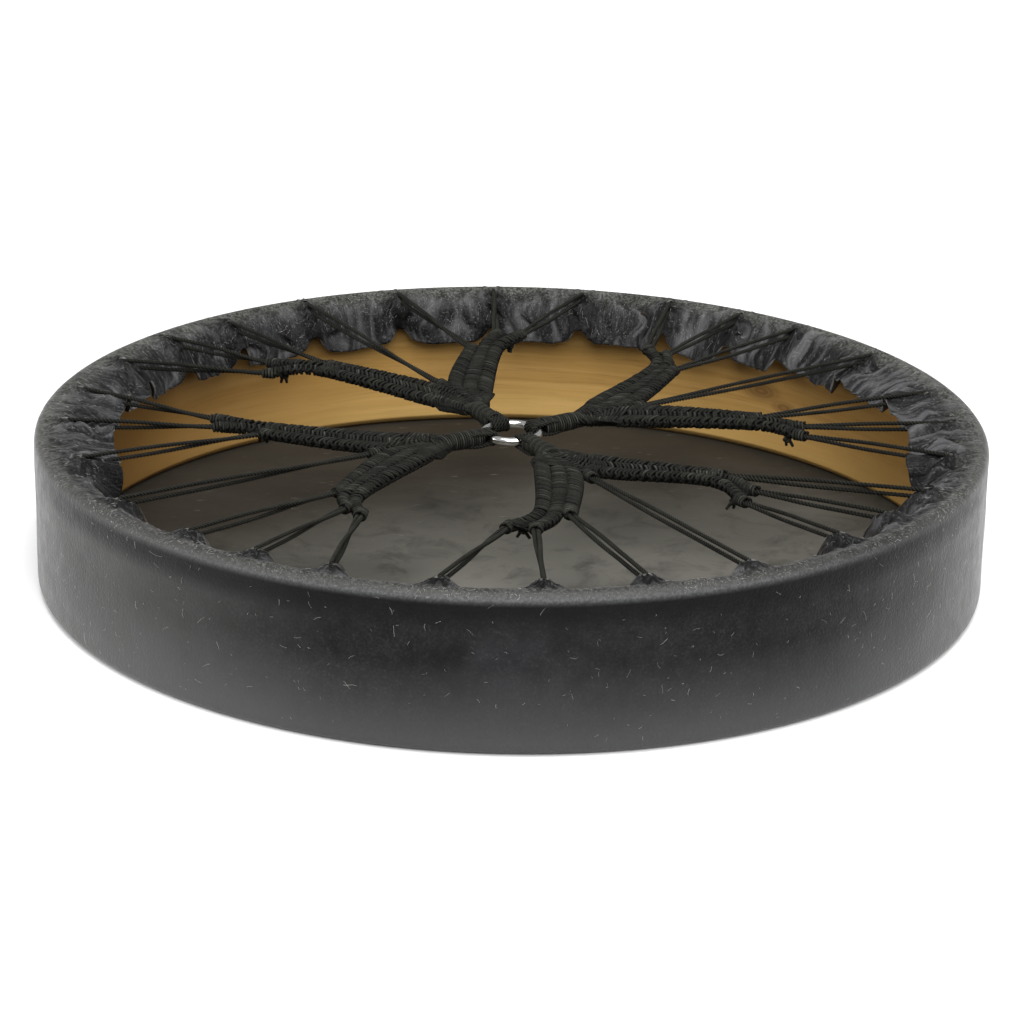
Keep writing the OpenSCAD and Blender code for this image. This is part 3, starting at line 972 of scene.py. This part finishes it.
def weave_cord(build, arm, js, s0, s1, turn, flat=False):
    """One cord across the strands. A flat one stays on top all the way across and comes back underneath."""
    rng = np.random.RandomState(arm * 50 + int(s0 * 10) * 4 + turn + js[0])
    middle = columns_at(arm, js, np.linspace(s0, s1, 40)).mean(1)
    length = np.linalg.norm(np.diff(middle, axis=0), axis=1).sum()
    rows = max(int(length / (FLAT_ROW / 2 if flat else ROW)), 2)
    stations = np.linspace(s0, s1, rows) + rng.uniform(-0.3, 0.3, rows) * (s1 - s0) / rows
    patch = rng.uniform(0.55, 1.0, (rows // 3 + 1, len(js) // 2))
    grid = columns_at(arm, js, stations)
    forward = unit(np.gradient(grid.mean(1), axis=0))
    opening = smooth(0, 0.25, stations) if flat else np.ones(rows)
    high = WEAVE_HIGH * opening + 0.6 * (1 - opening)
    path, ref, tone = [], [], []
    for i in range(rows):
        for xy, z, light in crossing(rng, grid[i], forward[i], high[i], patch[i // 3], i, turn, flat):
            path.append([*xy, z])
            ref.append([*forward[i], 0])
            tone.append(light)
    path = np.array(path)
    path[:, 2] += arm_z(arm, path[:, :2])
    dense = rounded(path, 2)
    ref = np.repeat(np.array(ref), 2, 0)[: len(dense)]
    tone = np.interp(np.arange(len(dense)) / 2, np.arange(len(tone)), tone)
    # tone is the cord's painted light and shade, and its flanks are painted in shade
    build.tube(dense, WEFT_R, ref, 8, relief=tone, flank=0.12)


def weave(build, arm, js, s0, s1):
    """Two cords back and forth over and under pairs of strands, one over a pair where the other is under."""
    for turn in (0, 1):
        weave_cord(build, arm, js, s0, s1, turn)


def wrap(build, centre, along, half_wide, half_high, length, turns, radius, flare=(0, 0)):
    """A cord wound round a bundle, whose half width and half height change by flare towards its end."""
    along = unit([*along, SLOPE])
    side = unit(np.cross([0, 0, 1.0], along))
    up = np.cross(along, side)
    n = int(turns * 16)
    a = np.linspace(0, 2 * math.pi * turns, n)
    s = np.linspace(-0.5, 0.5, n) * length
    wide, high = (half + more * smooth(4, 14, s) for half, more in zip((half_wide, half_high), flare))
    path = np.asarray(centre) + s[:, None] * along
    path = path + (wide * np.cos(a))[:, None] * side + (high * np.sin(a))[:, None] * up
    # painted light that changes from turn to turn, and painted shade between the turns
    shade = 0.72 + 0.16 * np.sin(a * 0.7 + turns)
    build.tube(path, radius, along, 8, relief=shade, flank=0.1)


def build_binding(arm):
    """The arm's strands, a flat cord round all of them near the grip, and then a weave on each branch."""
    build = Builder()
    stations = np.linspace(0, 3, 46)
    for j in range(STRANDS):
        xy = columns_at(arm, [j], stations)[:, 0]
        strand = np.column_stack([xy, arm_z(arm, xy)])
        # the strands are painted in shade, as they lie under the weave
        build.tube(strand, CORD_R, [0, 0, 1], 8, relief=0.25)
    weave_cord(build, arm, list(range(STRANDS)), 0.16, 0.99, 0, True)
    weave(build, arm, list(range(6)), 0.99, 2.0)
    weave(build, arm, list(range(8, STRANDS)), 0.99, 2.0)
    weave(build, arm, list(range(4)), 2.0, 2.93)
    weave(build, arm, [j for j in range(8, STRANDS) if j // 2 != EARLY[arm]], 2.0, 2.93)
    for k in range(LACES):
        start, d, _, z0, _ = lace_frame(arm, k)
        wrap(build, [*(start - d * 1.5), z0], d, 3.4, 2.6, 8.5, 4.2, 0.95)
    build.make(f"binding_cords_{ARMS[arm]}", CORD, (f"binding_{ARMS[arm]}",))


def build_whipping(arm):
    """Strands looped over the ring's wire, and a cord wound round them."""
    build = Builder()
    u = polar(1, ARM_ANGLE[arm])
    v = left_of(u)
    strand_r = 1.25
    r = WIRE_R + strand_r
    for q in (-2, -1, 0, 1, 2):
        y = q * 2.35
        ring_x = math.sqrt(RING_R**2 - y * y)
        loop = np.radians(np.linspace(60, 300, 15))
        path = [[34, y * 0.8, RING_Z + 3.4], [27, y * 0.95, RING_Z + 4.0]]
        path += [[ring_x + r * math.cos(a), y, RING_Z + r * math.sin(a)] for a in loop]
        path += [[27, y * 0.95, RING_Z - 4.0], [34, y * 0.8, RING_Z - 3.4]]
        path = np.array(path)
        xyz = np.column_stack([np.outer(path[:, 0], u) + np.outer(path[:, 1], v), path[:, 2]])
        dense, along = resample(rounded(xyz, 3), 0.55)
        build.tube(dense, strand_r, [*v, 0], SIDES, 2 * math.pi * along / LAY, ROPE)
    # the bundle inside the turns, painted in shade
    bundle = np.linspace(23.5, 56, 14)
    core = np.column_stack([np.outer(bundle, u), cone_at(bundle)])
    build.tube(core, 4.3, [0, 0, 1], 16, relief=0.1)
    middle = 38
    wrap(build, [*(u * middle), cone_at(middle)], u, 5.1, 5.1, 30, 18, 0.8, (2.6, -1.6))
    build.make(f"whipping_cords_{ARMS[arm]}", CORD, (f"whipping_{ARMS[arm]}",))


def build_knots():
    """A trefoil knot with two cut ends at each place where a binding's cord is tied off."""
    build = Builder()
    rng = np.random.RandomState(4)
    knot_r, size = 1.15, 0.66
    a = np.linspace(0, 2 * math.pi, 60, endpoint=False)
    trefoil = [np.sin(a) + 2 * np.sin(2 * a), np.cos(a) - 2 * np.cos(2 * a), -1.1 * np.sin(3 * a)]
    trefoil = np.column_stack(trefoil)
    for arm, x, y in KNOTS:
        turn = rng.uniform(0, 6.28)
        c, s = math.cos(turn), math.sin(turn)
        z = arm_z(arm, (x, y)) - 5.0
        shape = trefoil @ np.array([[c, s, 0], [-s, c, 0], [0, 0, 1]]) * size + [x, y, z]
        closed = np.concatenate([shape, shape[:1]])
        # the knots and their ends are painted in partial shade, with no painted highlight
        build.tube(closed, knot_r, transported(closed), 8, relief=0.62)
        for sign in (-1, 1):
            lean = rng.uniform(-0.5, 0.5, 2)
            step = np.array([sign * 0.3 + lean[0], lean[1], -1.1])
            tail = rounded([np.array([x + sign, y, z]) + count * step for count in range(5)], 3)
            build.tube(tail, np.linspace(knot_r, 0.9, len(tail)), [1, 0.2, 0], 8, relief=0.5)
    build.make("knots_and_ends", CORD, ("binding_knots",))


def build_ring():
    build = Builder()
    a = np.linspace(0, 2 * math.pi, 160, endpoint=False)
    path = np.column_stack([RING_R * np.cos(a), RING_R * np.sin(a), np.full(len(a), RING_Z)])
    build.tube(path, WIRE_R, [0, 0, 1], 28, closed=True)
    build.make("ring_of_wire", STEEL, ("grip_ring",))


# ---------- lint and short hair on the hide
OUTSIDE_HAIRS = 4300
SIDE_HAIRS = 801
FLAP_HAIRS = 2600


def add_hair(rng, build, on_crest):
    """A curled hair that lies on the crest or on the side."""
    deg = rng.uniform(0, 360)
    if on_crest:
        tilt = rng.uniform(-0.1, 1.1)
        r = BACK_ROUND + 0.05
        base = around_drum(CREST_R + r * math.sin(tilt), deg, DRUM_H - BACK_ROUND + r * math.cos(tilt))
        out = around_drum(math.sin(tilt), deg, math.cos(tilt))
    else:
        base = around_drum(DRUM_R + 0.1, deg, rng.uniform(6, 92))
        out = around_drum(1, deg, 0)
    flat = around_drum(1, deg + 90, 0)
    up = np.cross(out, flat)
    a = rng.uniform(0, 6.28)
    length = 0.8 + rng.exponential(0.5 if on_crest else 1.3)
    curl = rng.uniform(-0.8, 0.8)
    s = np.linspace(0, 1, 5)[:, None]
    heading = flat * math.cos(a) + up * math.sin(a)
    bend = flat * math.cos(a + 1.57) + up * math.sin(a + 1.57)
    path = base + heading * s * length + bend * curl * length * s * s + out * 0.3 * np.sin(s * 3.14)
    build.tube(path, rng.uniform(0.02, 0.045) if on_crest else rng.uniform(0.03, 0.065), out + 0.01, 3)


def add_flap_hair(rng, build, cloth):
    """A hair that follows the folds of the flap, whose points are given as rows and columns."""
    row, column = rng.uniform(2, FLAP_ROWS - 9), rng.uniform(0, COLUMNS)
    a = rng.normal(0, 0.6)
    length = min(0.9 + rng.exponential(1.2), 6)
    s = np.linspace(0, 1, 6)
    i = row + s * length * math.cos(a)
    j = column + (s + rng.uniform(-0.5, 0.5) * s * s) * length * math.sin(a)
    i0, j0 = i.astype(int), np.floor(j).astype(int)
    fi, fj = (i - i0)[:, None], (j - j0)[:, None]
    left, right = cloth[:, j0 % COLUMNS], cloth[:, (j0 + 1) % COLUMNS]
    at = np.arange(len(s))
    path = (left[i0, at] * (1 - fi) + left[i0 + 1, at] * fi) * (1 - fj)
    path = path + (right[i0, at] * (1 - fi) + right[i0 + 1, at] * fi) * fj
    path = path + np.outer(0.1 + 0.15 * np.sin(s * 3.14), [0, 0, 1])
    build.tube(path, rng.uniform(0.025, 0.055), [0, 0.01, 1], 3)


def build_lint():
    rng = np.random.RandomState(12)
    build = Builder()
    for count in range(OUTSIDE_HAIRS):
        add_hair(rng, build, count >= SIDE_HAIRS)
    r, z, _, _ = flap_points()
    cloth = around_drum(r, ARC, z)
    for _ in range(FLAP_HAIRS):
        add_flap_hair(rng, build, cloth)
    build.make("lint_hairs", LINT, ())


# ---------- camera, floor and light
def set_camera(scene):
    """The photo's own view: a long lens that looks down on the middle of the drum's open back."""
    distance, elevation, roll, tilt = 2158.8, 18.712, 1.018, 1.558
    camera = bpy.data.cameras.new("camera")
    camera.lens = 120.08
    camera.sensor_width = 36
    camera.clip_end = 50
    obj = bpy.data.objects.new("camera", camera)
    scene.collection.objects.link(obj)
    e = math.radians(elevation)
    place = Matrix.Translation((0, -distance * math.cos(e) * MM, (DRUM_H + distance * math.sin(e)) * MM))
    for degrees, axis in ((90 - elevation, "X"), (roll, "Z"), (-tilt, "X")):
        place = place @ Matrix.Rotation(math.radians(degrees), 4, axis)
    obj.matrix_world = place
    scene.camera = obj


def set_floor(scene):
    mesh = bpy.data.meshes.new("floor")
    size, drop = 30, -0.0004
    corners = [(-size, -size, drop), (size, -size, drop), (size, size, drop), (-size, size, drop)]
    mesh.from_pydata(corners, [], [(0, 1, 2, 3)])
    mesh.materials.append(new_material("floor_white", Roughness=0.9, Base_Color=(0.93, 0.93, 0.93, 1))[0])
    floor = bpy.data.objects.new("floor", mesh)
    scene.collection.objects.link(floor)


def add_lamp(scene, name, light):
    lamp = bpy.data.objects.new(name, light)
    scene.collection.objects.link(lamp)
    return lamp


def add_area_light(scene, name, location, target, size_x, size_y, power):
    light = bpy.data.lights.new(name, "AREA")
    light.shape = "RECTANGLE"
    light.size, light.size_y, light.energy = size_x, size_y, power
    lamp = add_lamp(scene, name, light)
    lamp.location = location
    lamp.rotation_euler = (Vector(location) - Vector(target)).to_track_quat("Z", "Y").to_euler()


def set_light(scene):
    """Soft studio light: an even white surround, a wide sun, and large lamps above and on both sides."""
    world = bpy.data.worlds.new("studio")
    scene.world = world
    world.use_nodes = True
    background = world.node_tree.nodes["Background"]
    background.inputs["Color"].default_value = (1, 1, 1, 1)
    background.inputs["Strength"].default_value = 0.34
    add_area_light(scene, "top", (0.1, -0.35, 2.0), (0, 0, 0), 1.6, 1.0, 30)
    add_area_light(scene, "side_left", (-2.4, -0.2, 0.9), (0, 0, 0.05), 1.4, 1.2, 24)
    add_area_light(scene, "side_right", (2.4, -0.2, 0.9), (0, 0, 0.05), 1.4, 1.2, 24)
    sun = bpy.data.lights.new("soft_sky", "SUN")
    sun.energy, sun.angle = 2.4, math.radians(45)
    add_lamp(scene, "soft_sky", sun).rotation_euler = (math.radians(46), 0, math.radians(6))
    scene.view_settings.view_transform = "Standard"


set_camera(bpy.context.scene)
set_floor(bpy.context.scene)
set_light(bpy.context.scene)
build_hide()
build_hoop()
for arm in range(len(ARMS)):
    for k in range(LACES):
        build_lace(arm, k)
    build_binding(arm)
    build_whipping(arm)
build_knots()
build_ring()
build_lint()
